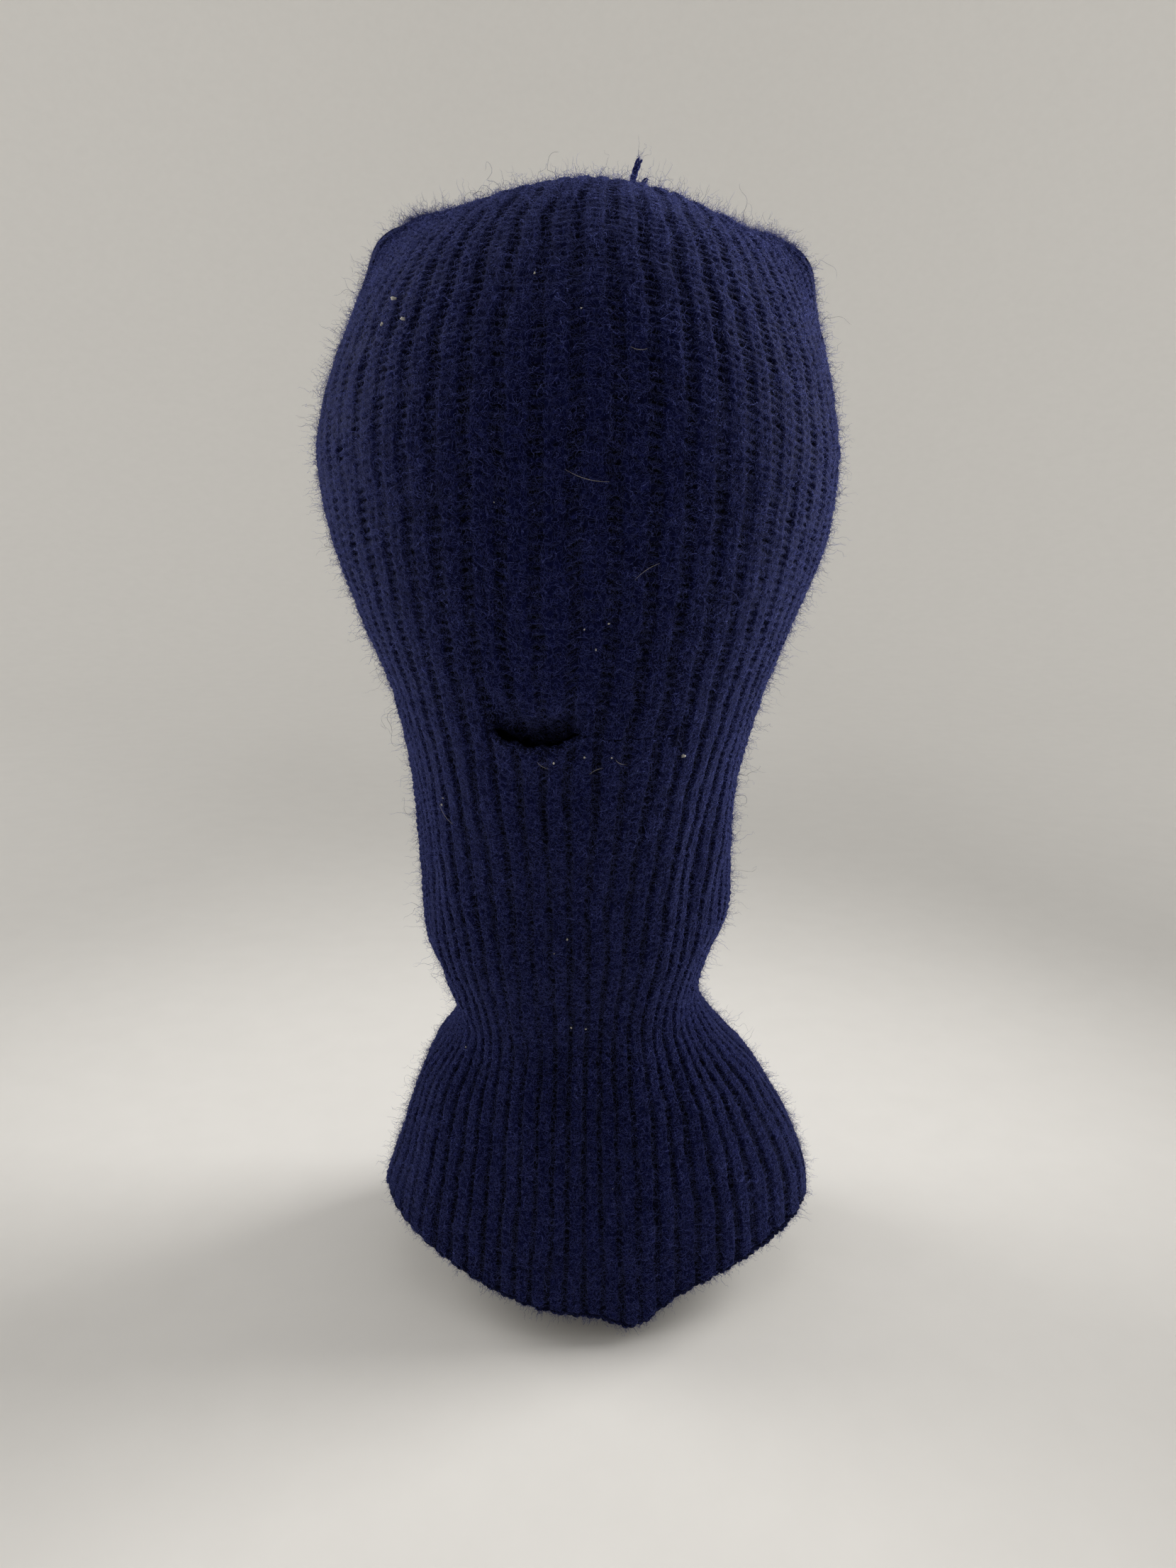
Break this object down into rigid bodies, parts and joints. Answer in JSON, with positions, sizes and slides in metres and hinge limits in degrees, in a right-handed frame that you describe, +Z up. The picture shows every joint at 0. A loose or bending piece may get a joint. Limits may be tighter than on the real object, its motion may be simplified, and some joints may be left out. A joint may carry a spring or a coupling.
{
  "type": "balaclava",
  "caption": "Fuzzy rib-knit balaclava pulled into shape: gabled crown with blunt corners, narrow face slit, slim neck and a flared bib with a wavy hem.",
  "frame": {"origin": "where the top of the head touches the inside of the crown", "axes": "+Z up out of the crown, -Y out of the face slit, +X to the right as seen from in front"},
  "size_m": [0.1665, 0.19, 0.3658],
  "materials": {
    "front_panel": "napped rib knit",
    "back_panel": "napped rib knit",
    "crown_seam_left": "fuzzy twisted yarn",
    "crown_seam_right": "fuzzy twisted yarn",
    "side_seam_left": "fuzzy twisted yarn",
    "side_seam_right": "fuzzy twisted yarn",
    "crown_yarn_tail": "fuzzy twisted yarn",
    "slit_upper_edge": "fuzzy twisted yarn",
    "slit_lower_edge": "fuzzy twisted yarn",
    "slit_tack_left": "fuzzy twisted yarn",
    "slit_tack_right": "fuzzy twisted yarn",
    "hem_edge_front": "fuzzy twisted yarn",
    "hem_edge_back": "fuzzy twisted yarn"
  },
  "bodies": {
    "root": {"front_panel": "front_panel", "back_panel": "back_panel", "crown_seam_left": "crown_seam_left", "crown_seam_right": "crown_seam_right", "side_seam_left": "side_seam_left", "side_seam_right": "side_seam_right", "crown_yarn_tail": "crown_yarn_tail", "slit_upper_edge": "slit_upper_edge", "slit_lower_edge": "slit_lower_edge", "slit_tack_left": "slit_tack_left", "slit_tack_right": "slit_tack_right", "hem_edge_front": "hem_edge_front", "hem_edge_back": "hem_edge_back"}
  },
  "joints": []
}
